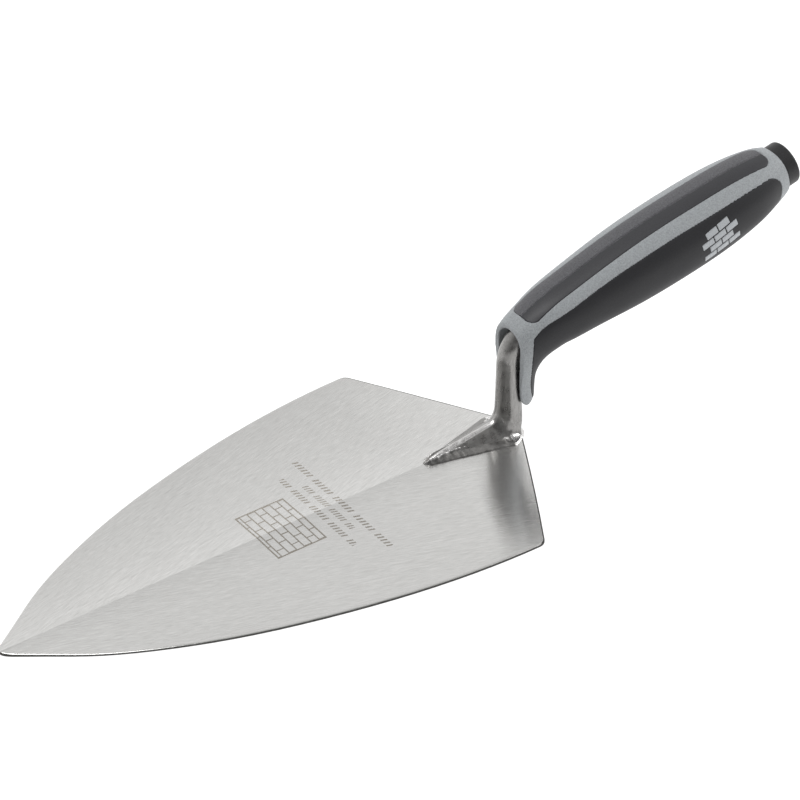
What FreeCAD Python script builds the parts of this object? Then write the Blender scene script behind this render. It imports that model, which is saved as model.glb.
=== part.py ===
"""Brick trowel with a broad ten-inch blade, a forged shank and a two-material handle.

Frame, in millimetres: +X runs from the blade's tip towards the butt of the handle, +Z is up, and
the part is the same on both sides of the XZ plane. The origin lies on the flat underside of the
blade, straight under the axis of the shank's neck.
"""
import FreeCAD, Part
import math
import os

from FreeCAD import Vector

os.makedirs("parts", exist_ok=True)

# ---------------------------------------------------------------- driving dimensions, millimetres
# Blade
blade_length = 254.0
blade_width = 141.0
blade_thickness = 1.2
heel_behind_neck = 6.0
shoulder_setback = 40.7
shoulder_radius = 4.5
heel_radius = 5.0
back_edge_bow = 0.6
ridge_height = 0.45
ridge_half_width = 8.0
ridge_fade_start = 12.0
ridge_fade_length = 60.0
# distance behind the tip, half width
blade_side = [(1.2, 2.4), (4.2, 4.9), (12.8, 11.0), (27.7, 21.6), (51.2, 34.4), (81.0, 46.6),
              (115.0, 56.7), (149.0, 64.2), (183.5, 69.0)]

# Shank: foot, neck, bend and tang are one forging
neck_radius = 5.6
neck_height = 34.2
bend_radius = 16.0
tang_slope = math.radians(12.0)
tang_length = 86.0
tang_start = (7.6, 6.6)
tang_end = (4.6, 4.0)
# distance from the neck axis, half width, height above the blade
foot_sections = [(-43.0, 1.2, 0.9), (-32.0, 3.0, 2.9), (-20.0, 4.8, 5.2), (-9.0, 6.2, 7.6),
                 (-1.0, 6.4, 8.8)]

# Weld around the foot: distance from the neck axis, half width on the blade, height
weld_sections = [(-43.8, 2.2, 0.9), (-34.0, 4.4, 1.7), (-25.0, 6.6, 2.4), (-16.5, 8.6, 2.9),
                 (-5.5, 11.0, 3.4)]
weld_slope_width = 2.6
weld_heel_x = 3.2
weld_heel_half_width = 4.6
weld_heel_slope_width = 1.8
weld_heel_height = 2.7

# Handle: the underside turns down into a sleeve behind the neck, and every section of that bend
# lies in a plane through one pivot line under the front of the grip
pivot_x = 25.5
pivot_z = 27.2
# level sections of the sleeve: height, inner and outer distance ahead of the pivot, half width
sleeve_sections = [(14.6, 14.0, 32.5, 7.3), (18.8, 14.0, 32.5, 7.4), (23.0, 14.0, 32.5, 7.6)]
section_power = 2.3
# angle about the pivot from straight ahead, inner radius, outer radius, half width
bend_sections = [(0.0, 13.9, 32.5, 8.1), (15.0, 13.6, 35.0, 9.2), (30.0, 12.9, 37.0, 10.2),
                 (45.0, 12.1, 36.6, 11.3), (60.0, 11.6, 35.3, 12.4), (75.0, 11.7, 35.9, 13.5)]
# position along X, bottom, top, half width
grip_sections = [(25.5, 39.1, 65.1, 14.5), (36.0, 40.7, 68.5, 15.4), (56.0, 43.2, 74.6, 17.0),
                 (76.0, 46.6, 79.5, 17.9), (96.0, 50.9, 83.4, 18.1), (108.0, 53.8, 85.6, 17.6),
                 (119.0, 57.0, 87.1, 16.5), (127.0, 59.6, 87.8, 15.1), (134.0, 62.4, 88.0, 13.2)]
# top line ahead of the first grip section, and at the butt: position along X, height
nose_line = [(-10.0, 50.4), (0.5, 53.9), (6.0, 56.6), (16.0, 61.2)]
butt_top = (138.7, 87.9)
butt_center = (141.2, 77.2)
butt_tilt = math.radians(13.3)
butt_radius = 11.0
butt_round = 0.9

# Soft grip panels
skin = 2.4
pad_half_width = 7.4
pad_front = 5.3
pad_rear = 133.5
pad_corner = 4.6
pad_reach_down = 12.0
panel_drop = 4.7
panel_rear = 135.3
panel_rear_corner = 7.5
panel_stations = [8.0, 18.0, 36.0, 56.0, 76.0, 96.0, 116.0]
panel_low_end = 16.8
arm_rear_x = 4.3

# Saddle: the opening at the front of the handle, either side of the neck
saddle_front_x = -0.2
# rounded lower end of both arms in side view, from the rear underside round to the front face
arm_end = [(12.0, 17.6), (9.8, 17.3), (8.0, 16.4), (6.5, 15.5), (4.9, 15.2), (3.4, 15.9), (2.2, 17.3),
           (1.3, 19.4), (0.8, 22.4), (0.4, 27.0), (0.1, 34.0), (-0.2, 46.0)]
arch_radius = 7.3
arch_center_z = 44.1
slot_low_half_width = 5.9
slot_back_x = 6.4
slot_back_round = 4.5

# Butt: end cap with its spigot in the core's rear bore
cap_radius = 9.9
cap_proud = 6.7
cap_round = 0.9
spigot_radius = 5.5
spigot_length = 16.0
core_bore_extra = 4.0

# Generic running-bond brick badge on both side panels
badge_center = (97.6, 68.6)
badge_slope = math.radians(18.0)
brick_length = 6.0
brick_height = 2.7
brick_gap = 0.75
badge_rows = [3, 2, 3, 2]
badge_depth = 0.8

# Reach of the tools that cut or divide the solids, well past the object
side_reach = 60.0
front_reach = 40.0
top_reach = 110.0
section_points = 32


# ---------------------------------------------------------------- helpers
def export(shape, node):
    """Write one sub-part, after checking that it is sound."""
    if not shape.isValid() or not shape.Solids:
        raise RuntimeError(node + " is not a valid solid")
    shape.exportStep("parts/" + node + ".step")
    print(node, "solids", len(shape.Solids), "volume", round(shape.Volume, 1))


def smooth_curve(points, closed=False):
    """Curve through the points, with the same parameters for every closed section."""
    curve = Part.BSplineCurve()
    if closed:
        steps = [float(i) for i in range(len(points) + 1)]
        curve.interpolate(Points=points, PeriodicFlag=True, Parameters=steps)
    else:
        curve.interpolate(points)
    return curve.toShape()


def mirrored(shape):
    """The same shape on the other side of the XZ plane."""
    return shape.mirror(Vector(0, 0, 0), Vector(0, 1, 0))


def side_prism(wire):
    """A closed outline in the XZ plane, run out to both sides."""
    face = Part.Face(wire)
    face.translate(Vector(0, -side_reach, 0))
    return face.extrude(Vector(0, 2 * side_reach, 0))


def line(start, end):
    """Straight edge."""
    return Part.LineSegment(start, end).toShape()


def polygon(points):
    """Closed outline through the points."""
    return Part.makePolygon(points + [points[0]])


# ---------------------------------------------------------------- blade
def make_blade():
    """Leaf outline with a rounded tip and a straight-edged back, and a low ridge along the top."""
    tip_x = heel_behind_neck - blade_length
    shoulder = Vector(heel_behind_neck - shoulder_setback, blade_width / 2, 0)
    far_shoulder = Vector(shoulder.x, -shoulder.y, 0)
    heel = Vector(heel_behind_neck, 0, 0)
    left_side = [Vector(tip_x + along, half_width, 0) for along, half_width in blade_side]
    left_side.append(shoulder)
    right_side = [Vector(point.x, -point.y, 0) for point in reversed(left_side)]
    side = smooth_curve(right_side + [Vector(tip_x, 0, 0)] + left_side)
    outward = Vector(blade_width / 2, shoulder_setback, 0).normalize()
    back_middle = (shoulder + heel) * 0.5 + outward * back_edge_bow
    back = Part.Arc(shoulder, back_middle, heel).toShape()
    outline = Part.Wire([side, back, mirrored(back)])
    plate = Part.Face(outline).extrude(Vector(0, 0, blade_thickness))
    corners = [(shoulder, shoulder_radius), (far_shoulder, shoulder_radius), (heel, heel_radius)]
    for corner, radius in corners:
        plate = plate.makeFillet(radius, corner_edges(plate, corner))
    return plate.fuse(make_ridge(tip_x).common(tall_outline(plate))).removeSplitter()


def corner_edges(plate, corner):
    """The plate's upright edge at a corner of its outline."""
    found = []
    for edge in plate.Edges:
        box = edge.BoundBox
        upright = box.XLength < 0.01 and box.YLength < 0.01
        if upright and math.hypot(box.Center.x - corner.x, box.Center.y - corner.y) < 0.1:
            found.append(edge)
    return found


def tall_outline(plate):
    """The blade's outline as a taller prism, to trim the ridge."""
    top = max(plate.Faces, key=lambda face: face.CenterOfMass.z)
    upper = top.extrude(Vector(0, 0, 2 * blade_thickness))
    lower = top.extrude(Vector(0, 0, -blade_thickness))
    return upper.fuse(lower)


def make_ridge(tip_x):
    """Low gable that fades towards the tip, rooted a little way down in the plate."""
    root_z = blade_thickness * 0.7

    def gable(x, half_width, height):
        return polygon([Vector(x, -half_width, root_z), Vector(x, -half_width, blade_thickness),
                        Vector(x, 0, blade_thickness + height), Vector(x, half_width, blade_thickness),
                        Vector(x, half_width, root_z)])
    start_x = tip_x + ridge_fade_start
    heel_x = heel_behind_neck + heel_radius
    return Part.makeLoft([gable(start_x, ridge_half_width * 0.2, ridge_height * 0.1),
                          gable(start_x + ridge_fade_length, ridge_half_width, ridge_height * 0.8),
                          gable(heel_x, ridge_half_width, ridge_height)], True, True)


# ---------------------------------------------------------------- shank
def make_shank():
    """Foot on the blade, round neck, bend, and tapered square tang."""
    low = blade_thickness
    neck = Part.makeCylinder(neck_radius, neck_height - low, Vector(0, 0, low), Vector(0, 0, 1))
    turn = math.pi / 2 - tang_slope
    bend_center = Vector(bend_radius, 0, neck_height)
    neck_top = Part.makeCircle(neck_radius, Vector(0, 0, neck_height), Vector(0, 0, 1))
    bend = Part.Face(Part.Wire(neck_top)).revolve(bend_center, Vector(0, 1, 0), math.degrees(turn))
    bend_end = bend_center + Vector(-bend_radius * math.cos(turn), 0, bend_radius * math.sin(turn))
    return neck.fuse([bend, make_tang(bend_end), make_foot()]).removeSplitter()


def make_tang(start):
    """Square bar that tapers from the end of the bend."""
    along = Vector(math.cos(tang_slope), 0, math.sin(tang_slope))
    across = Vector(0, 1, 0)
    up = along.cross(across) * -1.0

    def bar(distance, size):
        middle = start + along * distance
        half_width = across * (size[0] / 2)
        half_height = up * (size[1] / 2)
        return polygon([middle - half_width - half_height, middle + half_width - half_height,
                        middle + half_width + half_height, middle - half_width + half_height])
    return Part.makeLoft([bar(-1.0, tang_start), bar(tang_length, tang_end)], True, True)


def make_foot():
    """Wedge with a rounded top, pointed towards the blade's tip."""
    wires = []
    for x, half_width, height in foot_sections:
        left = Vector(x, -half_width, blade_thickness)
        right = Vector(x, half_width, blade_thickness)
        crown = Vector(x, 0, blade_thickness + height)
        top = Part.Arc(left, crown, right).toShape()
        wires.append(Part.Wire([top, Part.LineSegment(right, left).toShape()]))
    return Part.makeLoft(wires, True, True)


def make_weld(shank):
    """Fillet of weld metal along both sides of the foot and round behind the neck."""
    wires = []
    for x, half_width, height in weld_sections:
        wires.append(weld_outline(x, half_width, weld_slope_width, height))
    wires.append(weld_outline(weld_heel_x, weld_heel_half_width, weld_heel_slope_width, weld_heel_height))
    return Part.makeLoft(wires, True, True).cut(shank)


def weld_outline(x, half_width, slope_width, height):
    """Flat-topped section of the weld, standing on the blade."""
    top_half = max(half_width - slope_width, 0.8)
    top_z = blade_thickness + height
    return polygon([Vector(x, -half_width, blade_thickness), Vector(x, -top_half, top_z),
                    Vector(x, top_half, top_z), Vector(x, half_width, blade_thickness)])


# ---------------------------------------------------------------- handle body
def rounded_power(value):
    """Sine or cosine bent towards a slightly squarer section than an ellipse."""
    return math.copysign(abs(value) ** (2 / section_power), value)


def handle_section(root, direction, inner, outer, half_width, inset):
    """Rounded closed section between two distances along a direction in the XZ plane."""
    middle = (inner + outer) / 2
    reach = (outer - inner) / 2 - inset
    points = []
    for i in range(section_points):
        angle = 2 * math.pi * i / section_points
        outwards = middle - reach * rounded_power(math.cos(angle))
        sideways = (half_width - inset) * rounded_power(math.sin(angle))
        points.append(root + direction * outwards + Vector(0, sideways, 0))
    return Part.Wire([smooth_curve(points, closed=True)])


def handle_body(inset):
    """Loft of the whole handle, from the sleeve's lower end to the butt, shrunk by the inset."""
    ahead = Vector(-1, 0, 0)
    up = Vector(0, 0, 1)
    wires = []
    for z, inner, outer, half_width in sleeve_sections:
        wires.append(handle_section(Vector(pivot_x, 0, z), ahead, inner, outer, half_width, inset))
    pivot = Vector(pivot_x, 0, pivot_z)
    for degrees, inner, outer, half_width in bend_sections:
        angle = math.radians(degrees)
        direction = Vector(-math.cos(angle), 0, math.sin(angle))
        wires.append(handle_section(pivot, direction, inner, outer, half_width, inset))
    for x, bottom, top, half_width in grip_sections:
        wires.append(handle_section(Vector(x, 0, 0), up, bottom, top, half_width, inset))
    along, seat = butt_frame()
    tilted_up = Vector(-along.z, 0, along.x)
    rings = [(1.4 * butt_round, butt_radius), (0.0, butt_radius - 0.6 * butt_round)]
    for ahead_of_end, radius in rings:
        root = seat - along * ahead_of_end
        wires.append(handle_section(root, tilted_up, -radius, radius, radius, inset))
    return Part.makeLoft(wires, True, False)


def butt_frame():
    """Axis of the handle's tilted butt, and the middle of its end face."""
    return Vector(math.cos(butt_tilt), 0, math.sin(butt_tilt)), Vector(butt_center[0], 0, butt_center[1])


def top_line(x):
    """Height of the handle's top line, by straight steps between the stations."""
    stations = nose_line + [(station[0], station[2]) for station in grip_sections] + [butt_top]
    for (x0, z0), (x1, z1) in zip(stations, stations[1:]):
        if x <= x1:
            return z0 + (z1 - z0) * (x - x0) / (x1 - x0)
    return stations[-1][1]


def pad_region():
    """Plan outline of the top pad, run upwards through the upper half of the handle."""
    floor_z = top_line(pad_front) - pad_reach_down
    low_corner = Vector(pad_front, -pad_half_width, floor_z)
    plan = Part.makeBox(pad_rear - pad_front, 2 * pad_half_width, top_reach - floor_z, low_corner)
    plan = plan.makeFillet(pad_corner, [edge for edge in plan.Edges if edge.BoundBox.ZLength > 1.0])
    middle_x = (pad_front + pad_rear) / 2
    below = [Vector(x, 0, top_line(x) - pad_reach_down) for x in (pad_front, middle_x, pad_rear)]
    upper_half = polygon(below + [Vector(pad_rear, 0, top_reach), Vector(pad_front, 0, top_reach)])
    return plan.common(side_prism(upper_half))


def panel_region():
    """Side outline of the wrapped grip: everything below the side stripes, behind the saddle."""
    stations = panel_stations + [panel_rear - panel_rear_corner]
    upper = [Vector(x, 0, top_line(x) - panel_drop) for x in stations]
    corner_start = upper[-1]
    corner_end = Vector(panel_rear, 0, corner_start.z - panel_rear_corner)
    chord_reach = panel_rear_corner * (1 - math.sqrt(0.5))
    corner_middle = Vector(panel_rear - chord_reach, 0, corner_start.z - chord_reach)
    front_top = Vector(arm_rear_x + 0.6, 0, 50.2)
    front = [Vector(arm_rear_x + 3.9, 0, panel_low_end), Vector(arm_rear_x + 2.1, 0, 23.0),
             Vector(arm_rear_x + 0.7, 0, 33.0), Vector(arm_rear_x, 0, 44.0), front_top]
    floor_rear = Vector(panel_rear, 0, panel_low_end)
    edges = [smooth_curve([front_top] + upper), Part.Arc(corner_start, corner_middle, corner_end).toShape(),
             line(corner_end, floor_rear), line(floor_rear, front[0]), smooth_curve(front)]
    return side_prism(Part.Wire(edges))


def saddle_cut():
    """What is taken off: all ahead of the saddle's face and below the arms, and the slot for the neck."""
    low_z = sleeve_sections[0][0] - 1.0
    high_z = arch_center_z + 2 * arch_radius
    face = [Vector(x, 0, z) for x, z in arm_end] + [Vector(saddle_front_x, 0, high_z)]
    ahead_high = Vector(-front_reach, 0, high_z)
    ahead_low = Vector(-front_reach, 0, low_z)
    rear_low = Vector(face[0].x, 0, low_z)
    ahead = side_prism(Part.Wire([smooth_curve(face), line(face[-1], ahead_high),
                                  line(ahead_high, ahead_low), line(ahead_low, rear_low),
                                  line(rear_low, face[0])]))
    spring_left = Vector(-front_reach, -arch_radius, arch_center_z)
    spring_right = Vector(-front_reach, arch_radius, arch_center_z)
    apex = Vector(-front_reach, 0, arch_center_z + arch_radius)
    foot_right = Vector(-front_reach, slot_low_half_width, low_z)
    foot_left = Vector(-front_reach, -slot_low_half_width, low_z)
    arch = Part.Wire([Part.Arc(spring_left, apex, spring_right).toShape(), line(spring_right, foot_right),
                      line(foot_right, foot_left), line(foot_left, spring_left)])
    slot = Part.Face(arch).extrude(Vector(slot_back_x + front_reach, 0, 0))
    back_edges = [edge for edge in slot.Edges
                  if edge.BoundBox.XMin > slot_back_x - 0.01 and edge.BoundBox.ZMax > arch_center_z - 0.01]
    slot = slot.makeFillet(slot_back_round, back_edges)
    return ahead.fuse(slot)


# ---------------------------------------------------------------- handle parts
def make_cap():
    """Round plug with a spigot that fills the core's rear bore."""
    along, seat = butt_frame()
    head = Part.makeCylinder(cap_radius, cap_proud, seat, along)
    rim = max((e for e in head.Edges if isinstance(e.Curve, Part.Circle)),
              key=lambda edge: edge.Curve.Center.dot(along))
    head = head.makeFillet(cap_round, [rim])
    inner_end = seat - along * spigot_length
    spigot = Part.makeCylinder(spigot_radius, spigot_length + cap_proud / 2, inner_end, along)
    return head.fuse(spigot).removeSplitter()


def rear_bore():
    """Blind hole in the core for the cap's spigot."""
    along, seat = butt_frame()
    depth = spigot_length + core_bore_extra
    return Part.makeCylinder(spigot_radius, depth + butt_radius, seat - along * depth, along)


def badge_prisms():
    """Brick outlines in running bond, run through the handle from side to side."""
    pitch = brick_length + brick_gap
    rise = brick_height + brick_gap
    prisms = []
    for row, count in enumerate(badge_rows):
        height = (row - (len(badge_rows) - 1) / 2) * rise
        for i in range(count):
            along = (i - (count - 1) / 2) * pitch
            low = Vector(along - brick_length / 2, -side_reach, height - brick_height / 2)
            prisms.append(Part.makeBox(brick_length, 2 * side_reach, brick_height, low))
    placement = FreeCAD.Placement(Vector(badge_center[0], 0, badge_center[1]),
                                  FreeCAD.Rotation(Vector(0, 1, 0), -math.degrees(badge_slope)))
    for prism in prisms:
        prism.Placement = placement.multiply(prism.Placement)
    return Part.makeCompound(prisms)


def make_handle(shank):
    """Core, top pad, wrapped grip and badges, all cut from the same lofted body."""
    outer = handle_body(0.0)
    inner = handle_body(skin)
    cut = saddle_cut()
    bricks = badge_prisms()
    front_edge = outer.cut(cut)
    shell = front_edge.cut(inner)
    pad = shell.common(pad_region())
    wrap = shell.common(panel_region())
    core = front_edge.cut(pad).cut(wrap).cut(shank).cut(rear_bore())
    badges = wrap.cut(handle_body(badge_depth)).common(bricks)
    wrap = wrap.cut(badges)
    return core, pad, wrap, badges


# ---------------------------------------------------------------- the assembly
blade = make_blade()
shank = make_shank().cut(blade)
weld = make_weld(shank).cut(blade)
core, pad, wrap, badges = make_handle(shank)

export(blade, "blade")
export(shank, "shank")
export(weld, "weld_bead")
export(core, "handle_core")
export(pad, "grip_top_pad")
export(wrap, "grip_side_wrap")
export(badges, "side_badges")
export(make_cap(), "end_cap")
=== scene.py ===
import math

import bpy
import numpy as np
from mathutils import Matrix, Vector


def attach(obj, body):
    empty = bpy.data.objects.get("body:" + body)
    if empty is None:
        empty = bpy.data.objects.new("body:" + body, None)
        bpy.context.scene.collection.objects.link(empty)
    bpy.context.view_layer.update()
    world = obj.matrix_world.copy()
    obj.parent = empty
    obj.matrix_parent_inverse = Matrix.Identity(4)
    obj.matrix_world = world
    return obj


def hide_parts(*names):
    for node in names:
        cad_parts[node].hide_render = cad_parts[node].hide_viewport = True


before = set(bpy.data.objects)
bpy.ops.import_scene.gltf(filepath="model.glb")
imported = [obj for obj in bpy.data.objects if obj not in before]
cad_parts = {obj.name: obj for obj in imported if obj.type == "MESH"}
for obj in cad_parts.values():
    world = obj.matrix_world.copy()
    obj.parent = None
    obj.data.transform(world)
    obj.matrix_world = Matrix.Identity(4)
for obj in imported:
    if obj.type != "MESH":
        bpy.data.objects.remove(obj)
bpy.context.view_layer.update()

MM = 0.001
BODY = "root"
# A piece's mesh stays under this many triangles
MOST_TRIANGLES = 190000

# Sizes that the CAD model also has
BLADE_THICKNESS = 1.2
NECK_TOP_Z = 34.2
BEND_RADIUS = 16.0
TANG_SLOPE = math.radians(12.0)
TANG_LENGTH = 86.0

# Camera: three-quarter view from the near side, above the blade's tip
TARGET = Vector((-25.38, 42.23, 1.4)) * MM
AZIMUTH = math.radians(-36.006)
ELEVATION = math.radians(36.349)
ROLL = math.radians(0.057)
DISTANCE = 1490.3 * MM
LENS = 157.5
SENSOR_WIDTH = 36.0


# ------------------------------------------------------------------ mesh helpers
def new_object(name, mesh):
    """A smooth-shaded object in the scene's collection."""
    mesh.polygons.foreach_set("use_smooth", np.ones(len(mesh.polygons), bool))
    mesh.update()
    piece = bpy.data.objects.new(name, mesh)
    bpy.context.scene.collection.objects.link(piece)
    return piece


def mesh_of(name, points, faces):
    """Mesh from points in millimetres and lists of corner numbers."""
    mesh = bpy.data.meshes.new(name)
    mesh.from_pydata((np.asarray(points) * MM).tolist(), [], faces)
    mesh.validate()
    return mesh


def points_of(mesh):
    """The mesh's points in millimetres."""
    co = np.empty(len(mesh.vertices) * 3, np.float32)
    mesh.vertices.foreach_get("co", co)
    return co.reshape(-1, 3).astype(float) / MM


def set_points(mesh, points):
    """Moves the mesh's points to places in millimetres."""
    mesh.vertices.foreach_set("co", (points * MM).astype(np.float32).ravel())
    mesh.update()


def normals_of(mesh):
    """Unit normal at each of the mesh's points."""
    normals = np.empty(len(mesh.vertices) * 3, np.float32)
    mesh.vertices.foreach_get("normal", normals)
    return normals.reshape(-1, 3).astype(float)


def edges_of(mesh):
    """The two point numbers of each edge."""
    ends = np.empty(len(mesh.edges) * 2, np.int32)
    mesh.edges.foreach_get("vertices", ends)
    return ends.reshape(-1, 2)


def smoothed(points, edges, passes, weight=0.5):
    """Each pass moves every point towards the mean of its neighbours; weight may differ by point."""
    count = len(points)
    degree = np.bincount(edges.ravel(), minlength=count).astype(float)[:, None]
    weight = np.broadcast_to(np.asarray(weight, float).reshape(-1, 1), (count, 1))
    for _ in range(passes):
        total = np.empty_like(points)
        for axis in range(3):
            column = points[:, axis]
            total[:, axis] = (np.bincount(edges[:, 0], column[edges[:, 1]], count)
                              + np.bincount(edges[:, 1], column[edges[:, 0]], count))
        points = points + weight * (total / degree - points)
    return points


def rounded(piece, rounds, weight=None):
    """Rounds a piece's edges and keeps its size: each round smooths, then swells back."""
    points = points_of(piece.data)
    edges = edges_of(piece.data)
    weight = np.ones(len(points)) if weight is None else weight(points)
    for _ in range(rounds):
        points = smoothed(points, edges, 1, 0.5 * weight)
        points = smoothed(points, edges, 1, -0.53 * weight)
    set_points(piece.data, points)


def smooth_step(value, low, high):
    """0 below low, 1 above high, and a smooth rise between them."""
    t = np.clip((value - low) / (high - low), 0.0, 1.0)
    return t * t * (3 - 2 * t)


def stand_for(piece, node):
    """The piece takes the CAD node's place."""
    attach(piece, BODY)
    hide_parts(node)


def remeshed(node, name, voxel):
    """The CAD node again as a fine, even mesh, so that its edges can be softened."""
    source = bpy.data.objects.new(name + "_source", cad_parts[node].data.copy())
    bpy.context.scene.collection.objects.link(source)
    remesh = source.modifiers.new("fine", "REMESH")
    remesh.mode = "VOXEL"
    remesh.voxel_size = voxel * MM
    depsgraph = bpy.context.evaluated_depsgraph_get()
    mesh = bpy.data.meshes.new_from_object(source.evaluated_get(depsgraph))
    bpy.data.objects.remove(source)
    mesh.materials.clear()
    return new_object(name, mesh)


def thinned(piece, faces):
    """Fewer, larger triangles where the surface is flattest."""
    triangles = sum(len(face.vertices) - 2 for face in piece.data.polygons)
    fewer = piece.modifiers.new("fewer", "DECIMATE")
    fewer.ratio = min(1.0, faces / triangles)
    depsgraph = bpy.context.evaluated_depsgraph_get()
    mesh = bpy.data.meshes.new_from_object(piece.evaluated_get(depsgraph))
    piece.modifiers.clear()
    piece.data = mesh
    mesh.polygons.foreach_set("use_smooth", np.ones(len(mesh.polygons), bool))
    return piece


def surface_net(distance, low, high, step):
    """Closed quad mesh where distance(points) is zero, in the box from low to high."""
    axes = [np.arange(a, b + step, step) for a, b in zip(low, high)]
    grid = np.stack(np.meshgrid(*axes, indexing="ij"), -1)
    field = distance(grid)
    inside = field < 0
    shape = tuple(n - 1 for n in field.shape)
    corners = [(i, j, k) for i in (0, 1) for j in (0, 1) for k in (0, 1)]

    def at(array, corner):
        """The array's value at one corner of every cell."""
        return array[tuple(slice(c, c + n) for c, n in zip(corner, shape))]

    full = sum(at(inside, c).astype(np.int8) for c in corners)
    mixed = (full > 0) & (full < 8)
    number = np.full(shape, -1, np.int64)
    cells = np.argwhere(mixed)
    number[mixed] = np.arange(len(cells))
    total = np.zeros((len(cells), 3))
    hits = np.zeros((len(cells), 1))
    for axis in range(3):
        unit = np.eye(3, dtype=int)[axis]
        for corner in (c for c in corners if c[axis] == 0):
            start = cells + corner
            end = start + unit
            a = field[tuple(start.T)]
            b = field[tuple(end.T)]
            crossing = (a < 0) != (b < 0)
            t = np.where(crossing, a / np.where(crossing, a - b, 1.0), 0.0)
            total += np.where(crossing[:, None], np.array(corner) + t[:, None] * unit, 0.0)
            hits += crossing[:, None]
    points = np.array(low) + (cells + total / hits) * step
    faces = []
    for axis in range(3):
        one, two = (axis + 1) % 3, (axis + 2) % 3
        inner = [slice(1, -1)] * 3
        inner[axis] = slice(0, -1)
        ahead = [slice(1, -1)] * 3
        ahead[axis] = slice(1, None)
        start = inside[tuple(inner)]
        end = inside[tuple(ahead)]
        for wanted, order in ((start & ~end, (0, 1, 2, 3)), (end & ~start, (3, 2, 1, 0))):
            edge = np.argwhere(wanted)
            edge[:, one] += 1
            edge[:, two] += 1
            ring = []
            for back_one, back_two in ((0, 0), (1, 0), (1, 1), (0, 1)):
                cell = edge.copy()
                cell[:, one] -= back_one
                cell[:, two] -= back_two
                ring.append(number[tuple(cell.T)])
            faces.append(np.stack([ring[i] for i in order], 1))
    faces = np.concatenate(faces)
    for _ in range(3):
        points = pulled_on(distance, points, step * 0.1)
    return points, faces


def pulled_on(distance, points, reach):
    """Newton step that brings the points on to distance = 0."""
    value = distance(points)
    slope = np.stack([(distance(points + reach * np.eye(3)[axis])
                       - distance(points - reach * np.eye(3)[axis])) / (2 * reach)
                      for axis in range(3)], -1)
    length = np.maximum((slope ** 2).sum(-1, keepdims=True), 0.05)
    return points - np.clip(value[:, None] * slope / length, -0.3, 0.3)


def smooth_min(a, b, width):
    """The lower of two distances, blended where they are closer than width."""
    h = np.maximum(width - np.abs(a - b), 0.0) / width
    return np.minimum(a, b) - h * h * width / 4


# ------------------------------------------------------------------ shader helpers
# Nearly all of a noise's values lie between these two
NOISE_LOW = 0.3
NOISE_HIGH = 0.7


def fresh_material(name):
    """A new material, its node tree and its surface shader."""
    material = bpy.data.materials.new(name)
    material.use_nodes = True
    tree = material.node_tree
    return material, tree, tree.nodes["Principled BSDF"]


def add(tree, kind, inputs=(), **settings):
    """Shader node with its settings, and its inputs by name or number: a socket or a constant."""
    made = tree.nodes.new("ShaderNode" + kind)
    for key, value in settings.items():
        setattr(made, key, value)
    for key, value in dict(inputs).items():
        if isinstance(value, bpy.types.NodeSocket):
            tree.links.new(value, made.inputs[key])
        else:
            made.inputs[key].default_value = value
    return made


def object_place(tree, stretch=(1, 1, 1), turn=(0, 0, 0)):
    """Place on the object, for a texture drawn out by a factor along each of the turned axes."""
    place = add(tree, "TexCoord").outputs["Object"]
    mapping = add(tree, "Mapping", {"Vector": place}, vector_type="TEXTURE")
    mapping.inputs["Rotation"].default_value = turn
    mapping.inputs["Scale"].default_value = stretch
    return mapping.outputs["Vector"]


def noise(tree, vector, scale, detail=2.0, roughness=0.5):
    """Cloudy random value, with its middle near 0.5."""
    return add(tree, "TexNoise", {"Vector": vector, "Scale": scale, "Detail": detail,
                                  "Roughness": roughness}).outputs["Fac"]


def spread(tree, value, low, high):
    """Maps a noise's usual range to low..high."""
    return add(tree, "MapRange", {"Value": value, "From Min": NOISE_LOW, "From Max": NOISE_HIGH,
                                  "To Min": low, "To Max": high}).outputs["Result"]


def blended(tree, factor, first, second):
    """Colour between two colours."""
    made = add(tree, "Mix", {"Factor": factor, 6: first, 7: second}, data_type="RGBA")
    return made.outputs[2]


def blended_value(tree, factor, first, second):
    """Number between two numbers."""
    return add(tree, "Mix", {"Factor": factor, 2: first, 3: second}, data_type="FLOAT").outputs[0]


def weighted(tree, first, share, second):
    """Two noises added up, with the given share for the first and the rest for the second."""
    return math_node(tree, "ADD", math_node(tree, "MULTIPLY", spread(tree, first, 0, 1), share),
                     math_node(tree, "MULTIPLY", spread(tree, second, 0, 1), 1 - share))


def math_node(tree, operation, *values):
    """One sum, product or comparison of sockets or constants."""
    return add(tree, "Math", dict(enumerate(values)), operation=operation).outputs[0]


def bump(tree, height, distance):
    """Normal of a surface raised by a height of up to the distance in millimetres."""
    return add(tree, "Bump", {"Height": height, "Distance": distance * MM}).outputs["Normal"]


def connect(tree, output, socket):
    """Feeds an output to an input."""
    tree.links.new(output, socket)


# ------------------------------------------------------------------ materials
# Steels: each has a dark and a light tone that its texture runs between
NECK_DARK = (0.2, 0.196, 0.19, 1)
NECK_LIGHT = (0.36, 0.353, 0.345, 1)
WELD_DARK = (0.17, 0.166, 0.16, 1)
WELD_MID = (0.37, 0.362, 0.352, 1)
# Painted highlight: lighter tones for the foot's crest, the weld bead and the pool round the neck
HIGHLIGHT_DARK = (0.5, 0.49, 0.48, 1)
HIGHLIGHT_LIGHT = (0.92, 0.91, 0.9, 1)
STEEL_DARK = (0.585, 0.58, 0.565, 1)
STEEL_LIGHT = (0.84, 0.835, 0.82, 1)
EDGE_DARK = (0.035, 0.034, 0.032, 1)
EDGE_LIGHT = (0.1, 0.098, 0.095, 1)
MARK_COLOR = (0.33, 0.29, 0.235, 1)
BLACK = (0, 0, 0, 1)

# Belt-ground foot: its lines follow the crest's slope, and it starts ahead of the neck
FOOT_GRIND_TILT = -0.21
GROUND_FROM_X = -5
GROUND_TO_X = -11
# Painted highlight: a lighter strip along the foot's crest, centred here across the foot and fading out
# between the band's two distances
CREST_Y = -0.55
CREST_HIGHLIGHT_BAND = (0.95, 1.35)

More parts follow.
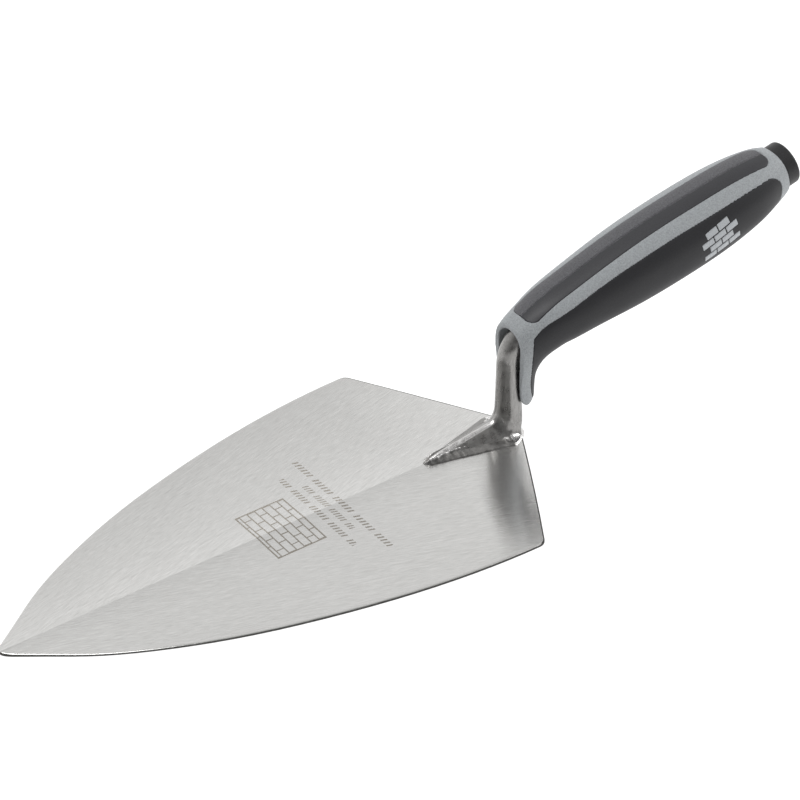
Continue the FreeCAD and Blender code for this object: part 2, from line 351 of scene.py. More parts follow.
# Blade: direction of the brush lines on each half, and the sheet's slight spring near its heel
FAR_BRUSH = math.radians(13.0)
NEAR_BRUSH = math.radians(-18.0)
HEEL_SPRING = 0.1
SPRING_START_X = -50
SPRING_END_X = -15

# Etched marks: a wall of bricks in a frame, then bands of hatching (place, half length, pitch)
WALL_X = -115.9
WALL_HALF_X = 11.2
WALL_HALF_Y = 15.2
FRAME_LINE = 0.7
BRICK_LENGTH = 7.6
BRICK_HEIGHT = 3.7
MORTAR = 0.3
BANDS = ((-97.7, 26.5, 1.9), (-92.2, 17.2, 1.6), (-86.4, 35.5, 2.1))
BAND_HALF_WIDTH = 1.35
HATCH_LEAN = 0.35
HATCH_FILL = 0.42
HATCH_OFFSET = 200


def plastic(name, dark, light, roughness, grain, depth, specular):
    """Moulded plastic: a spark-eroded grain of a width and depth in millimetres, slightly rubbed."""
    material, tree, shader = fresh_material(name)
    place = object_place(tree)
    fine = noise(tree, place, 1 / (grain * MM), 1.5, 0.6)
    cloud = noise(tree, place, 1 / (14 * MM), 2.0)
    connect(tree, blended(tree, spread(tree, fine, 0.0, 1.0), dark, light), shader.inputs["Base Color"])
    connect(tree, spread(tree, cloud, roughness - 0.04, roughness + 0.04), shader.inputs["Roughness"])
    connect(tree, bump(tree, fine, depth), shader.inputs["Normal"])
    shader.inputs["Specular IOR Level"].default_value = specular
    return material


def rubbed_steel(name, dark, light, roughness, depth, streak):
    """Weld metal after a quick rub with a belt: short soft streaks and a cloudy tone."""
    material, tree, shader = fresh_material(name)
    streaks = noise(tree, object_place(tree, (1, 1, streak)), 1 / (0.5 * MM), 2.0, 0.6)
    cloud = noise(tree, object_place(tree), 1 / (3.5 * MM), 4.0, 0.6)
    factor = weighted(tree, streaks, 0.6, cloud)
    connect(tree, blended(tree, factor, dark, light), shader.inputs["Base Color"])
    connect(tree, spread(tree, cloud, roughness - 0.07, roughness + 0.09), shader.inputs["Roughness"])
    connect(tree, bump(tree, streaks, depth), shader.inputs["Normal"])
    shader.inputs["Metallic"].default_value = 1.0
    return material


def forged_steel():
    """The forging: tumbled dull on its neck, belt-ground on its foot, with a painted highlight along the
    foot's crest.
    """
    material, tree, shader = fresh_material("forged_shank_steel")
    axes = add(tree, "SeparateXYZ", {0: add(tree, "TexCoord").outputs["Object"]})
    x, y = axes.outputs["X"], axes.outputs["Y"]
    along_neck = noise(tree, object_place(tree, (1, 1, 8)), 1 / (0.5 * MM), 2.0, 0.6)
    down_foot = object_place(tree, (14, 1, 1), (0, FOOT_GRIND_TILT, 0))
    along_foot = noise(tree, down_foot, 1 / (0.4 * MM), 3.0, 0.65)
    cloud = noise(tree, object_place(tree), 1 / (3.0 * MM), 4.0, 0.6)
    ground = add(tree, "MapRange", {"Value": x, "From Min": GROUND_FROM_X * MM,
                                    "From Max": GROUND_TO_X * MM}).outputs["Result"]
    streaks = blended_value(tree, ground, along_neck, along_foot)
    factor = weighted(tree, streaks, 0.6, cloud)
    neck = blended(tree, factor, NECK_DARK, NECK_LIGHT)
    foot = blended(tree, factor, WELD_DARK, WELD_MID)
    # Painted highlight: lighter steel along the foot's crest
    crest = blended(tree, factor, HIGHLIGHT_DARK, HIGHLIGHT_LIGHT)
    from_crest = math_node(tree, "ABSOLUTE", math_node(tree, "SUBTRACT", y, CREST_Y * MM))
    ragged = math_node(tree, "MULTIPLY", math_node(tree, "SUBTRACT", cloud, 0.5), 0.8 * MM)
    crest_highlight = add(tree, "MapRange", {"Value": math_node(tree, "ADD", from_crest, ragged),
                                      "From Min": CREST_HIGHLIGHT_BAND[1] * MM, "From Max": CREST_HIGHLIGHT_BAND[0] * MM})
    foot = blended(tree, crest_highlight.outputs["Result"], foot, crest)
    connect(tree, blended(tree, ground, neck, foot), shader.inputs["Base Color"])
    connect(tree, spread(tree, cloud, 0.22, 0.38), shader.inputs["Roughness"])
    connect(tree, bump(tree, streaks, 0.03), shader.inputs["Normal"])
    shader.inputs["Metallic"].default_value = 1.0
    return material


def brushed_blade():
    """Ground stainless sheet: the brush lines on each half run along that half's own side."""
    material, tree, shader = fresh_material("ground_stainless")
    axes = add(tree, "SeparateXYZ", {0: add(tree, "TexCoord").outputs["Object"]})
    far_side = math_node(tree, "GREATER_THAN", axes.outputs["Y"], 0.0)

    def brush_lines(width, stretch):
        """Lines of a width in millimetres, each as many times longer as the stretch says."""
        near, far = (noise(tree, object_place(tree, (stretch, 1, 1), (0, 0, turn)),
                           1 / (width * MM), 2.0, 0.65)
                     for turn in (NEAR_BRUSH, FAR_BRUSH))
        return blended_value(tree, far_side, near, far)

    fine = brush_lines(0.2, 26)
    broad = brush_lines(1.6, 14)
    cloud = noise(tree, object_place(tree), 1 / (45 * MM), 2.0)
    steel = blended(tree, weighted(tree, fine, 0.9, broad), STEEL_DARK, STEEL_LIGHT)
    # Painted shade: the far half darkens towards its far edge, where its reflection falls off
    far_half_painted_shade = add(tree, "MapRange", {"Value": axes.outputs["Y"], "From Min": 8 * MM, "From Max": 70 * MM,
                                      "To Min": 0.0, "To Max": 0.17}).outputs["Result"]
    steel = blended(tree, far_half_painted_shade, steel, BLACK)
    marked = etched_marks(tree, axes)
    connect(tree, blended(tree, marked, steel, MARK_COLOR), shader.inputs["Base Color"])
    rough = math_node(tree, "ADD", spread(tree, fine, 0.17, 0.23), spread(tree, cloud, -0.01, 0.01))
    connect(tree, math_node(tree, "ADD", rough, math_node(tree, "MULTIPLY", marked, 0.2)),
            shader.inputs["Roughness"])
    ramp = add(tree, "MapRange", {"Value": axes.outputs["X"], "From Min": SPRING_START_X * MM,
                                  "From Max": SPRING_END_X * MM}).outputs[0]
    straight = math_node(tree, "ADD", axes.outputs["X"], -SPRING_END_X * MM)
    straight = math_node(tree, "MAXIMUM", straight, 0.0)
    curve = (SPRING_END_X - SPRING_START_X) / 2 * MM
    sag = math_node(tree, "MULTIPLY_ADD", math_node(tree, "MULTIPLY", ramp, ramp), curve, straight)
    sag = math_node(tree, "MULTIPLY", sag, -HEEL_SPRING)
    spring = add(tree, "Bump", {"Height": sag, "Distance": 1.0})
    lines = add(tree, "Bump", {"Height": fine, "Distance": 0.012 * MM, "Normal": spring.outputs["Normal"]})
    connect(tree, lines.outputs["Normal"], shader.inputs["Normal"])
    near_across, far_across = (
        add(tree, "CombineXYZ", {"X": -math.sin(turn), "Y": math.cos(turn)}).outputs[0]
        for turn in (NEAR_BRUSH, FAR_BRUSH))
    across = add(tree, "Mix", {"Factor": far_side, 4: near_across, 5: far_across}, data_type="VECTOR")
    connect(tree, across.outputs[1], shader.inputs["Tangent"])
    shader.inputs["Anisotropic"].default_value = 0.95
    shader.inputs["Metallic"].default_value = 0.88
    return material


def shaded_cut_edge():
    """Sheared edge of the sheet: dull, and painted near-black as shade."""
    material, tree, shader = fresh_material("shaded_cut_edge")
    scratches = noise(tree, object_place(tree, (6, 6, 1)), 1 / (0.3 * MM), 3.0)
    tone = blended(tree, spread(tree, scratches, 0, 1), EDGE_DARK, EDGE_LIGHT)
    connect(tree, tone, shader.inputs["Base Color"])
    connect(tree, bump(tree, scratches, 0.03), shader.inputs["Normal"])
    shader.inputs["Metallic"].default_value = 1.0
    shader.inputs["Roughness"].default_value = 0.45
    return material


def inside_band(tree, value, middle, half):
    """1 where the value is within half of the middle."""
    offset = math_node(tree, "ABSOLUTE", math_node(tree, "SUBTRACT", value, middle * MM))
    return math_node(tree, "LESS_THAN", offset, half * MM)


def etched_marks(tree, axes):
    """Laser marks across the blade: a running-bond wall in a frame, and three plain hatched bands."""
    x, y = axes.outputs["X"], axes.outputs["Y"]

    def both_of(a, b):
        """1 where both are."""
        return math_node(tree, "MULTIPLY", a, b)

    def either(a, b):
        """1 where one or both are."""
        return math_node(tree, "MAXIMUM", a, b)

    def area(middle_x, half_x, half_y):
        """1 in a rectangle across the centre line."""
        return both_of(inside_band(tree, x, middle_x, half_x), inside_band(tree, y, 0.0, half_y))

    def stripes(value, pitch, filled):
        """1 over the filled length at the start of each pitch."""
        return math_node(tree, "LESS_THAN", math_node(tree, "MODULO", value, pitch * MM), filled * MM)

    across = add(tree, "CombineXYZ", {"X": y, "Y": x})
    bricks = add(tree, "TexBrick", {"Vector": across.outputs[0], "Scale": 1.0,
                                    "Mortar Size": MORTAR * MM, "Mortar Smooth": 0.0,
                                    "Brick Width": BRICK_LENGTH * MM, "Row Height": BRICK_HEIGHT * MM})
    wall_area = area(WALL_X, WALL_HALF_X, WALL_HALF_Y)
    frame_area = area(WALL_X, WALL_HALF_X + FRAME_LINE, WALL_HALF_Y + FRAME_LINE)
    wall = both_of(bricks.outputs["Fac"], wall_area)
    marks = either(wall, math_node(tree, "SUBTRACT", frame_area, wall_area))
    leaning = math_node(tree, "ADD", y, math_node(tree, "MULTIPLY_ADD", x, HATCH_LEAN, HATCH_OFFSET * MM))
    for middle, half_length, pitch in BANDS:
        band = area(middle, BAND_HALF_WIDTH, half_length)
        hatch = stripes(leaning, pitch, HATCH_FILL * pitch)
        group = stripes(leaning, 7 * pitch, 6 * pitch)
        marks = either(marks, both_of(band, both_of(hatch, group)))
    wear = noise(tree, object_place(tree), 1 / (0.6 * MM), 3.0)
    return both_of(marks, spread(tree, wear, 0.55, 0.95))


# ------------------------------------------------------------------ blade
STATION_SPACING = 0.8


def blade_outline():
    """Stations from tip to heel: place along X, half width and the outline's outward normal."""
    points = points_of(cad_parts["blade"].data)
    rim = points[(points[:, 2] < 0.01) & (points[:, 1] >= 0.0)]
    rim = rim[np.argsort(rim[:, 0])]
    x, first = np.unique(np.round(rim[:, 0], 4), return_index=True)
    half = np.maximum.reduceat(rim[:, 1], first)
    along = np.concatenate([[0], np.cumsum(np.hypot(np.diff(x), np.diff(half)))])
    fine = np.arange(0.0, along[-1], STATION_SPACING)
    fine[-1] = along[-1]
    x = np.interp(fine, along, x)
    half = np.interp(fine, along, half)
    turn_x = np.gradient(x)
    turn_y = np.gradient(half)
    length = np.hypot(turn_x, turn_y)
    return x, half, -turn_y / length, turn_x / length


# Top face: height on the centre line, the hollow beside it, and the rise out to the sides
CREST_TOP_Z = 1.5
HOLLOW_DEPTH = 0.56
HOLLOW_WIDTH = 9.0
SIDE_RISE = 0.26
SIDE_Y = 65.0


def blade_top(along_y):
    """Height of the ground top face: a crest on the centre line, and a slight hollow either side."""
    y = np.abs(along_y)
    return CREST_TOP_Z - HOLLOW_DEPTH * (1 - np.exp(-y / HOLLOW_WIDTH)) + SIDE_RISE * (y / SIDE_Y) ** 2


# Ground strip along the back: its width by distance from the centre line, and its fall
BACK_BEVEL_Y = [8, 38, 55, 70]
BACK_BEVEL_WIDTH = [0.4, 2.4, 1.2, 0.6]
BACK_BEVEL_SLOPE = 0.085
# Points across each half: closer together beside the crest, then even out to the edge
NEAR_CREST = [0, 0.2, 0.5, 0.9, 1.5, 2.3, 3.2, 4.3, 5.6, 7.0, 8.8, 11.0, 13.5, 16.5]
OUTER_COUNT = 56
BOTTOM_STRIDE = 12
# Broken edge: steps outwards from the rim to the outline, and down as a share of the thickness
RIM_WIDTH = 0.6
RIM_STEPS = [(0.2, 0.05), (0.05, 0.15), (0.0, 0.3), (0.0, 0.85), (0.05, 0.95), (0.2, 1.0)]
# Painted shade: a near-black strip along the top of the back edges
SHADED_RIM_WIDTH = 0.5


def make_blade():
    """Hollow-ground plate with a crest on its centre line, a bevelled back and broken edges all round."""
    x, half, normal_x, normal_y = blade_outline()
    back = normal_x > 0.3

    def from_back(place_x, place_y):
        """Distance in from the back edges."""
        return ((x[back] - place_x[:, None]) * normal_x[back]
                + (half[back] - place_y[:, None]) * normal_y[back]).min(1)

    inner = np.array(NEAR_CREST)
    outer = np.linspace(0, 1, OUTER_COUNT)[1:]
    rows = []
    for i in range(len(x)):
        inset_by = min(RIM_WIDTH, 0.4 * half[i])
        edge_x = x[i] - normal_x[i] * inset_by
        edge_y = half[i] - normal_y[i] * inset_by
        near = inner / inner[-1] * min(inner[-1], 0.6 * edge_y)
        spans = np.concatenate([near, near[-1] + (edge_y - near[-1]) * outer])
        places = x[i] + (edge_x - x[i]) * spans / edge_y
        bevel = np.interp(spans, BACK_BEVEL_Y, BACK_BEVEL_WIDTH)
        heights = blade_top(spans) - BACK_BEVEL_SLOPE * np.maximum(bevel - from_back(places, spans), 0)
        top = list(zip(places, spans, heights))
        thick = heights[-1]
        side = [(x[i] - normal_x[i] * inset_by * step / RIM_WIDTH,
                 half[i] - normal_y[i] * inset_by * step / RIM_WIDTH,
                 thick * (1 - down)) for step, down in RIM_STEPS]
        bottom = [(p[0], p[1], 0.0) for p in top[::-BOTTOM_STRIDE]]
        left = top + side + bottom
        right = [(p[0], -p[1], p[2]) for p in left]
        rows.append(left + right[:0:-1])
    count = len(rows[0])
    points = np.array(rows).reshape(-1, 3)
    faces = []
    for i in range(len(rows) - 1):
        for j in range(count):
            k = (j + 1) % count
            faces.append((i * count + j, (i + 1) * count + j, (i + 1) * count + k, i * count + k))
    faces.append(tuple(range(count)))
    last = (len(rows) - 1) * count
    faces.append(tuple(last + j for j in reversed(range(count))))
    piece = new_object("blade_ground", mesh_of("blade_ground", points, faces))
    piece.data.materials.append(brushed_blade())
    piece.data.materials.append(shaded_cut_edge())
    for face in piece.data.polygons:
        place = np.array(face.center) / MM
        on_top = place[2] > BLADE_THICKNESS / 2
        # Painted shade: the cut edges and the strip along the back take the near-black edge material
        shaded_rim = on_top and from_back(place[:1], np.abs(place[1:2]))[0] < SHADED_RIM_WIDTH
        if shaded_rim or abs(face.normal.z) < 0.75:
            face.material_index = 1
    return piece


# ------------------------------------------------------------------ shank and weld
# Neck: radius by height
NECK_Z = [6.0, 22.0, 40.0]
NECK_RADIUS = [5.95, 5.6, 5.35]
NECK_FOOT_Z = 7.4
HAMMERED_DEPTH = 0.25
TANG_HALF = [3.6, 2.1]
NECK_BLEND = 4.2
SHANK_BOTTOM_Z = 1.0
SHANK_LOW = (-44, -8.5, 0.6)
SHANK_HIGH = (20, 8.5, 57)
SHANK_STEP = 0.3
# Foot: height of its crest, half width at the blade and rounding of the crest, by place along X
FOOT_TIP_X = -41.3
FOOT_REAR_X = 1.5
CREST_X = [-42.5, -41, -38, -36, -30, -24, -18, -12, -8, 2]
CREST_Z = [2.3, 2.9, 3.7, 4.15, 5.05, 5.95, 6.8, 7.7, 8.4, 10.5]
FOOT_X = [-43, -33, -23, -14, -5, 2]
FOOT_HALF = [0.9, 3.6, 5.3, 6.4, 7.2, 6.8]
ROUNDING_X = [-40, -10]
ROUNDING = [0.9, 1.9]


def neck_distance(p):
    """Round neck with a rounded lower end, its bend, and the tang as a tapered bar."""
    x, y, z = p[..., 0], p[..., 1], p[..., 2]
    radius = np.interp(z, NECK_Z, NECK_RADIUS)
    below = np.minimum(z - NECK_FOOT_Z, 0.0)
    straight = np.sqrt(x ** 2 + y ** 2 + below ** 2) - radius
    hammered = wobble(x + 0.7 * y + 0.4 * z, 2.3, 21) * wobble(y - 0.6 * x + 0.8 * z, 2.9, 22)
    straight = straight - HAMMERED_DEPTH * hammered * smooth_step(10.0 - z, 0.0, 3.0)
    dx = x - BEND_RADIUS
    dz = z - NECK_TOP_Z
    bend = np.hypot(np.hypot(dx, dz) - BEND_RADIUS, y) - radius
    neck = np.where(dz > 0, np.where(dx < 2.0, bend, 9.0), straight)
    turn = math.pi / 2 - TANG_SLOPE
    start = np.array([BEND_RADIUS * (1 - math.cos(turn)), 0, NECK_TOP_Z + BEND_RADIUS * math.sin(turn)])
    along = (x - start[0]) * math.cos(TANG_SLOPE) + (z - start[2]) * math.sin(TANG_SLOPE)
    up = (z - start[2]) * math.cos(TANG_SLOPE) - (x - start[0]) * math.sin(TANG_SLOPE)
    half = np.interp(along, [0, TANG_LENGTH], TANG_HALF)
    tang = np.maximum(np.maximum(np.abs(y), np.abs(up)) - half,
                      np.maximum(-along, along - TANG_LENGTH))
    return smooth_min(neck, tang, 1.0)


def foot_distance(p):
    """Tapered wedge with a rounded crest, lying on the blade ahead of the neck."""
    x, y, z = p[..., 0], p[..., 1], p[..., 2]
    crest = np.interp(x, CREST_X, CREST_Z)
    half = np.interp(x, FOOT_X, FOOT_HALF)
    rounding = np.interp(x, ROUNDING_X, ROUNDING)
    side = np.sqrt(y ** 2 + rounding ** 2) - rounding
    rise = np.maximum(crest - BLADE_THICKNESS, 0.05) / half
    top = crest - rise * side
    flank = (z - top) / np.sqrt(1 + rise ** 2)
    return np.maximum(np.maximum(flank, SHANK_BOTTOM_Z - z), np.maximum(FOOT_TIP_X - x, x - FOOT_REAR_X))


def shank_distance(p):
    """Neck, bend, tang and foot, with a wide blend where the foot meets the neck."""
    joined = smooth_min(neck_distance(p), foot_distance(p), NECK_BLEND)
    return np.maximum(joined, SHANK_BOTTOM_Z - p[..., 2])


# Weld: line and height of its bead, and the edge where it meets the blade, by place along X
BEAD_X = [-43.0, -41.6, -38, -34, -30, -23, -14, -10.5, -6]
BEAD_Y = [0.5, 1.0, 1.65, 1.65, 1.85, 3.0, 4.3, 5.2, 6.5]
BEAD_Z = [0.9, 1.6, 2.0, 2.3, 2.5, 2.45, 2.3, 1.9, 1.6]
CONTACT_X = [-43.7, -43.1, -42.3, -41.2, -33, -23, -14, -5, 10]
CONTACT_Y = [0.2, 1.2, 2.2, 2.8, 4.8, 7.3, 9.4, 11.9, 12.4]
# Height of the bead's ropy crest
ROPE_X = [-44, -42, -28, -22, -9]
ROPE_HEIGHT = [0.5, 1.0, 1.0, 0.4, 0.15]
ROPE_HALF = 0.55
LIP = 0.3
VALLEY_SLOPE = 2.0
FAR_SIDE_INSET = 0.6
# Lump of fused metal over the foot's tip
NOSE_X = -40.6
NOSE_HEIGHT = 0.7
NOSE_LENGTH = 1.5
NOSE_WIDTH = 1.1
# Pool of metal round the neck: its rear outline, its flat top, and the swell against the neck
REAR_X = 4.3
CORNER_X = 0.9
CORNER_Y = 9.2
POOL_HEIGHT = 2.9
NECK_RING = 5.9
RING_HEIGHT = 1.5
RING_WIDTH = 1.6
LUMP = (-3.6, 6.2)
LUMP_HEIGHT = 1.1
# Short groove where each bead runs into the pool
GROOVE = (-4.8, 7.0)
GROOVE_WIDTH = 0.3
GROOVE_LENGTH = 0.9
# Grid that the weld's surface is worked out on
WELD_STEP = 0.18
WELD_X = (-45.2, 6.4)
WELD_Y = (-12.8, 12.9)
WELD_BOTTOM_Z = 0.6
WELD_LOW = (-45.4, -13.0, 0.3)
WELD_HIGH = (6.6, 13.0, 7.0)


def wobble(x, wavelength, seed):
    """Smooth random wave between about -1 and 1."""
    knots = np.random.default_rng(seed).uniform(-1, 1, 200)
    return np.interp(x, (np.arange(200) - 100) * wavelength / 2, knots)


def weld_top(x, y):
    """Height of the weld's surface over the blade plane."""
    wide = np.abs(y)
    side_seed = np.where(y < 0, 0.0, 300.0)
    contact = np.interp(x, CONTACT_X, CONTACT_Y) + 0.12 * wobble(x + side_seed, 2.6, 3)
    contact = contact - FAR_SIDE_INSET * smooth_step(y, 0.5, 2.5) * smooth_step(x, -42.0, -36.0)
    bead_y = np.interp(x, BEAD_X, BEAD_Y) + 0.22 * wobble(x + side_seed, 2.2, 4)
    bead_z = np.interp(x, BEAD_X, BEAD_Z)
    across = np.clip((contact - wide) / np.maximum(contact - bead_y, 0.3), -0.2, 1.0)
    rise = 1 - (1 - np.maximum(across, 0)) ** 1.35
    flank = LIP * smooth_step(across, -0.02, 0.07) + (bead_z - LIP) * rise
    flank = np.where(wide < bead_y, bead_z - VALLEY_SLOPE * (bead_y - wide), flank)
    rope = np.interp(x, ROPE_X, ROPE_HEIGHT)
    rope = rope * (0.75 + 0.4 * wobble(x + side_seed, 1.7, 5))
    flank = flank + np.maximum(rope, 0.0) * np.exp(-((wide - bead_y) / ROPE_HALF) ** 2)
    nose = np.exp(-((x - NOSE_X) / NOSE_LENGTH) ** 2 - (y / NOSE_WIDTH) ** 2)
    flank = flank + NOSE_HEIGHT * nose * (1 + 0.3 * wobble(x * 1.3 + y, 1.1, 11))
    inside = np.minimum((contact - wide) * 0.97, x - CONTACT_X[0])
    shoulder = (CORNER_X - x) * 0.47 + (CORNER_Y - wide) * 0.88
    back = (CORNER_X - x) * 0.73 + (CORNER_Y - wide) * 0.684
    inside = smooth_min(smooth_min(inside, smooth_min(shoulder, back, 0.8), 0.8), REAR_X - x, 1.0)
    rise = 0.35 * smooth_step(inside, -0.05, 0.35) + 0.43 * np.maximum(inside, 0.0)
    skirt = POOL_HEIGHT - np.log1p(np.exp((POOL_HEIGHT - rise) * 3.0)) / 3.0
    ring = np.hypot(x, y) - NECK_RING
    skirt = skirt + RING_HEIGHT * np.exp(-(ring / RING_WIDTH) ** 2) * smooth_step(2.0 - x, 0.0, 3.0)
    skirt = skirt + LUMP_HEIGHT * np.exp(-((x - LUMP[0]) ** 2 + (y - LUMP[1]) ** 2) / 3.2)
    along_groove = x - GROOVE[0]
    across_groove = (wide - GROOVE[1]) - 0.25 * along_groove
    skirt = skirt - np.exp(-(across_groove / GROOVE_WIDTH) ** 2 - (along_groove / GROOVE_LENGTH) ** 2)
    rough = 0.22 - 0.14 * smooth_step(x, -5.0, -2.0)
    skirt = skirt + rough * wobble(x * 0.8 + y * 0.6 + 40, 1.7, 6) * wobble(y - x * 0.5, 1.9, 8)
    share = smooth_step(x, -10.0, -5.0)
    top = flank * (1 - share) + skirt * share
    return BLADE_THICKNESS + np.where(inside > -0.4, top, -2.0)


def make_shank():
    """Neck, foot, bend and tang in one forging."""
    points, faces = surface_net(shank_distance, SHANK_LOW, SHANK_HIGH, SHANK_STEP)
    piece = new_object("shank_forging", mesh_of("shank_forging", points, faces.tolist()))
    smooth = smoothed(points_of(piece.data), edges_of(piece.data), 4)
    set_points(piece.data, smooth)
    return piece


def make_weld():
    """Weld metal along the foot, higher round the neck, with its ropy bead."""
    axis_x = np.arange(*WELD_X, WELD_STEP)
    axis_y = np.arange(*WELD_Y, WELD_STEP)
    heights = weld_top(*np.meshgrid(axis_x, axis_y, indexing="ij"))

    def distance(p):
        """Distance to the surface, from the heights at the four grid points around each place."""
        u = np.clip((p[..., 0] - axis_x[0]) / WELD_STEP, 0, len(axis_x) - 1.001)
        v = np.clip((p[..., 1] - axis_y[0]) / WELD_STEP, 0, len(axis_y) - 1.001)
        i, j = u.astype(int), v.astype(int)
        s, t = u - i, v - j
        top = ((heights[i, j] * (1 - s) + heights[i + 1, j] * s) * (1 - t)
               + (heights[i, j + 1] * (1 - s) + heights[i + 1, j + 1] * s) * t)
        return np.maximum((p[..., 2] - top) * 0.8, WELD_BOTTOM_Z - p[..., 2])

    points, faces = surface_net(distance, WELD_LOW, WELD_HIGH, WELD_STEP)
    piece = new_object("weld_metal", mesh_of("weld_metal", points, faces.tolist()))
    set_points(piece.data, smoothed(points_of(piece.data), edges_of(piece.data), 2))
    piece.data.materials.append(rubbed_steel("weld_flank_steel", WELD_DARK, WELD_MID, 0.32, 0.03, 3))
    # Painted highlight: the lighter second material goes on the bead's crest and on the pool round the
    # neck, where rounded tops catch the light
    piece.data.materials.append(rubbed_steel("weld_highlight_steel", HIGHLIGHT_DARK, HIGHLIGHT_LIGHT, 0.22, 0.02, 1))
    points = points_of(piece.data)
    corners = np.array([face.vertices[:] for face in piece.data.polygons])
    middle = points[corners].mean(1)
    x, y = middle[:, 0], np.abs(middle[:, 1])
    bead_highlight = (y < np.interp(x, BEAD_X, BEAD_Y) + 0.45) & (x < -9)
    pool_highlight = (x > -8.5) & (np.hypot(x, y) < 9.8 + 0.8 * wobble(x * 2 + y, 3.0, 9))
    pool_highlight = pool_highlight | (x > -4.4 + 0.6 * wobble(y * 2, 2.0, 10))
    piece.data.polygons.foreach_set("material_index", (bead_highlight | pool_highlight).astype(np.int32))
    return piece


# ------------------------------------------------------------------ handle
VOXEL = 0.3
PAD_VOXEL = 0.25
BADGE_VOXEL = 0.15
# The core's arms are softened fully up to the first place along X, and no further than the second
ARM_X = (3.5, 7.5)
SEAM_DEPTH = 0.5
SEAM_WIDTH = 0.26
BADGE_PROUD = 0.12


def inset(piece, amount):
    """Moves the surface inwards by an amount for each point."""
    points = points_of(piece.data)
    set_points(piece.data, points - normals_of(piece.data) * np.broadcast_to(amount, len(points))[:, None])


def make_core():
    """Hard grey moulding, softened most at the ends of its arms beside the neck."""
    piece = remeshed("handle_core", "handle_shell", VOXEL)
    rounded(piece, 7)
    rounded(piece, 16, lambda p: 1 - smooth_step(p[:, 0], *ARM_X))
    return thinned(piece, MOST_TRIANGLES)


def make_wrap():
    """Soft black sides and underside."""
    piece = remeshed("grip_side_wrap", "soft_wrap", VOXEL)
    rounded(piece, 9)
    return thinned(piece, MOST_TRIANGLES)


def make_pad():
    """Top pad: its mould's parting line runs along the middle, between a grained half and a smooth near
    half whose darker colour is painted shade.
    """
    piece = remeshed("grip_top_pad", "soft_top_pad", PAD_VOXEL)
    rounded(piece, 8)
    points = points_of(piece.data)
    outward = normals_of(piece.data)[:, 2] > 0.3
    line = np.exp(-(points[:, 1] / SEAM_WIDTH) ** 2) * outward
    inset(piece, SEAM_DEPTH * line)
    piece = thinned(piece, MOST_TRIANGLES)
    grained = plastic("charcoal_grained_elastomer", (0.05, 0.05, 0.055, 1), (0.115, 0.115, 0.126, 1),
                      0.46, 0.55, 0.07, 0.6)
    smooth = plastic("charcoal_smooth_shaded_elastomer", (0.026, 0.026, 0.03, 1), (0.038, 0.038, 0.043, 1),
                     0.46, 0.5, 0.012, 0.45)
    piece.data.materials.append(grained)
    piece.data.materials.append(smooth)
    # Painted shade: the near half, below the parting line, takes the darker smooth material
    for face in piece.data.polygons:
        face.material_index = int(face.center.y < 0)
    return piece


def make_badges():
    """Brick-pattern inlays, standing slightly proud of the side panels."""
    piece = remeshed("side_badges", "brick_badges", BADGE_VOXEL)
    rounded(piece, 4)
    inset(piece, -BADGE_PROUD)
    return piece


def make_cap():
    """Plug in the handle's rear end."""
    piece = remeshed("end_cap", "butt_plug", VOXEL)
    rounded(piece, 4)
    return piece


# ------------------------------------------------------------------ stage
FLOOR_REACH = 3000.0
FLOOR_DROP = 0.02
# Softboxes: place and aim in metres, side in metres and power in watts
SOFTBOXES = (
    ("top_softbox", (-0.4, 0.15, 1.4), (0, 0, 0), 0.8, 9),
    ("right_softbox", (1.3, -0.3, 0.9), (0, 0, 0.03), 0.7, 6),
    ("flank_softbox", (0.7, -0.5, 1.22), (0, 0, 0), 0.6, 0.8))


def make_camera():
    """Long lens, looking down at the trowel from its near side."""
    back = Vector((math.sin(AZIMUTH) * math.cos(ELEVATION), -math.cos(AZIMUTH) * math.cos(ELEVATION),
                   math.sin(ELEVATION)))
    data = bpy.data.cameras.new("camera")
    data.lens = LENS
    data.sensor_width = SENSOR_WIDTH
    data.clip_start = 0.05
    data.clip_end = 50.0
    camera = bpy.data.objects.new("camera", data)
    turn = back.to_track_quat("Z", "Y").to_matrix() @ Matrix.Rotation(ROLL, 3, "Z")
    camera.matrix_world = Matrix.Translation(TARGET + back * DISTANCE) @ turn.to_4x4()
    bpy.context.scene.collection.objects.link(camera)
    bpy.context.scene.camera = camera


def make_floor():
    """Plain pale sweep that the trowel lies on."""
    corners = [(FLOOR_REACH * x, FLOOR_REACH * y, 0) for x, y in ((-1, -1), (1, -1), (1, 1), (-1, 1))]
    floor = new_object("floor", mesh_of("floor", corners, [(0, 1, 2, 3)]))
    floor.location.z = -FLOOR_DROP * MM
    material, tree, shader = fresh_material("pale_floor")
    paper = noise(tree, object_place(tree), 1 / (2 * MM), 3.0)
    tone = blended(tree, paper, (0.36, 0.36, 0.36, 1), (0.4, 0.4, 0.4, 1))
    connect(tree, tone, shader.inputs["Base Color"])
    shader.inputs["Roughness"].default_value = 0.9
    shader.inputs["Emission Color"].default_value = (1, 1, 1, 1)
    shader.inputs["Emission Strength"].default_value = 0.85
    floor.data.materials.append(material)


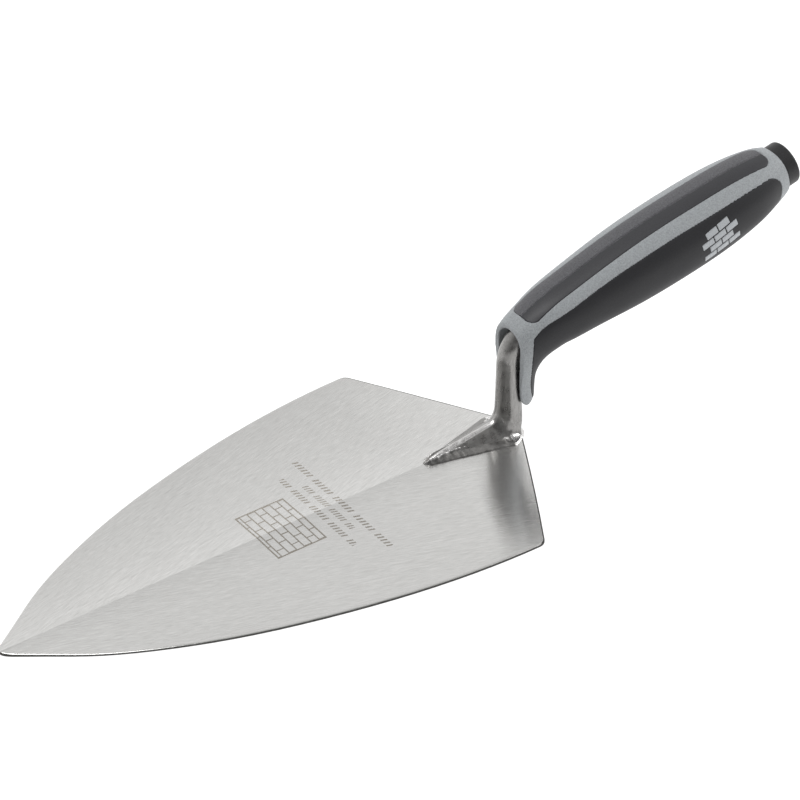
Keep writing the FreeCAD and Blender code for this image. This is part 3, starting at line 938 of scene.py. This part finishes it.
def make_world():
    """Soft white room, darker on the side of the camera, as a studio is behind its lights."""
    world = bpy.data.worlds.new("studio")
    world.use_nodes = True
    bpy.context.scene.world = world
    tree = world.node_tree
    direction = add(tree, "TexCoord").outputs["Generated"]
    facing = Vector((math.sin(AZIMUTH), -math.cos(AZIMUTH), 0.47)).normalized()
    towards = add(tree, "VectorMath", {0: direction, 1: facing}, operation="DOT_PRODUCT").outputs["Value"]
    front = add(tree, "MapRange", {"Value": towards, "From Min": -0.15, "From Max": 0.85},
                interpolation_type="SMOOTHSTEP").outputs["Result"]
    height = add(tree, "SeparateXYZ", {0: direction}).outputs["Z"]
    above = add(tree, "MapRange", {"Value": height, "From Min": 0.60, "From Max": 0.82},
                interpolation_type="SMOOTHSTEP").outputs["Result"]
    color = blended(tree, front, (0.95, 0.95, 0.95, 1), (0.22, 0.22, 0.22, 1))
    color = blended(tree, math_node(tree, "MULTIPLY", above, 0.5), color, (0.1, 0.1, 0.1, 1))
    background = tree.nodes["Background"]
    connect(tree, color, background.inputs["Color"])
    background.inputs["Strength"].default_value = 1.0


def make_light(name, place, aim, size, power):
    """Square softbox at a place, facing the point that it aims at."""
    data = bpy.data.lights.new(name, "AREA")
    data.shape = "SQUARE"
    data.size = size
    data.energy = power
    lamp = bpy.data.objects.new(name, data)
    place = Vector(place)
    lamp.location = place
    lamp.rotation_mode = "QUATERNION"
    lamp.rotation_quaternion = (place - Vector(aim)).to_track_quat("Z", "Y")
    bpy.context.scene.collection.objects.link(lamp)


# ------------------------------------------------------------------ the model
make_camera()
make_world()
make_floor()
for softbox in SOFTBOXES:
    make_light(*softbox)

bpy.context.scene.view_settings.view_transform = "Standard"

grey = plastic("grey_grained_plastic", (0.27, 0.285, 0.295, 1), (0.40, 0.42, 0.435, 1),
               0.5, 0.6, 0.06, 0.35)
black = plastic("black_soft_elastomer", (0.019, 0.019, 0.021, 1), (0.026, 0.026, 0.029, 1),
                0.5, 0.5, 0.01, 0.3)
cap_black = plastic("black_cap_plastic", (0.016, 0.016, 0.017, 1), (0.03, 0.03, 0.031, 1),
                    0.42, 0.45, 0.015, 0.35)
inlay = plastic("light_inlay", (0.40, 0.42, 0.44, 1), (0.52, 0.54, 0.56, 1),
                0.4, 0.4, 0.01, 0.4)
forged = forged_steel()

stand_for(make_blade(), "blade")
for made, node, slot, material in (
        (make_shank(), "shank", "shank_steel", forged),
        (make_core(), "handle_core", "core_plastic", grey),
        (make_wrap(), "grip_side_wrap", "soft_wrap", black),
        (make_badges(), "side_badges", "badge_plastic", inlay),
        (make_cap(), "end_cap", "cap_plastic", cap_black)):
    made.data.materials.append(material)
    stand_for(made, node)

stand_for(make_weld(), "weld_bead")
stand_for(make_pad(), "grip_top_pad")
